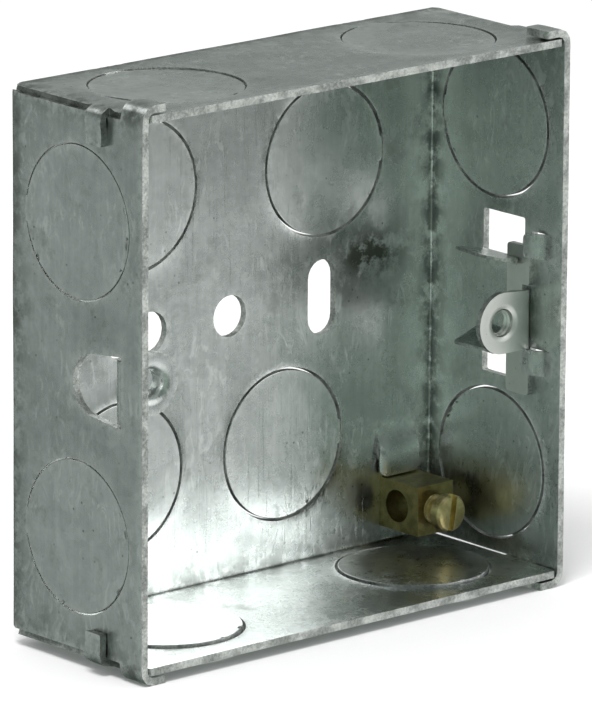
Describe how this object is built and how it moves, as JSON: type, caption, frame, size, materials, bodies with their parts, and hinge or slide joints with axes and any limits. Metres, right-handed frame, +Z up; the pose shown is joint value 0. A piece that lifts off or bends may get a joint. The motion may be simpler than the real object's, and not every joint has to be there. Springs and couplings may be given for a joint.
{
  "type": "electrical junction box",
  "caption": "Square flush back box folded from galvanised sheet steel, with break-out discs, a fixed and a sliding cover lug, and a brass earth terminal.",
  "frame": {"origin": "axis of the centre fixing hole, at the outer face of the back", "axes": "+X to the right as one looks into the opening, +Y into the wall along the depth, so the opening faces -Y, and +Z up"},
  "size_m": [0.0754, 0.0265, 0.0756],
  "materials": {
    "galvanised_steel": "galvanised, semi-gloss, scuffed",
    "knockout_steel": "galvanised, semi-gloss, scuffed",
    "lug_steel": "bright zinc plated, satin",
    "brass": "dull, drawn",
    "screw_brass": "turned, slightly brighter"
  },
  "bodies": {
    "box": {"box_shell": "galvanised_steel", "back_knockout_1": "knockout_steel", "back_knockout_2": "knockout_steel", "back_knockout_3": "knockout_steel", "back_knockout_4": "knockout_steel", "left_knockout_1": "knockout_steel", "left_knockout_2": "knockout_steel", "right_knockout_1": "knockout_steel", "right_knockout_2": "knockout_steel", "top_knockout_1": "knockout_steel", "top_knockout_2": "knockout_steel", "bottom_knockout_1": "knockout_steel", "bottom_knockout_2": "knockout_steel", "earth_terminal_block": "brass"},
    "adjustable_lug": {"adjustable_lug": "lug_steel"},
    "terminal_screw": {"earth_terminal_screw": "screw_brass"}
  },
  "joints": [
    {"name": "lug_slide", "type": "slide", "parent": "box", "child": "adjustable_lug", "axis": [0, 0, 1], "range_m": [0, 0.004]},
    {"name": "screw_travel", "type": "slide", "parent": "box", "child": "terminal_screw", "axis": [0, 1, 0], "range_m": [-0.001, 0.0016]}
  ]
}
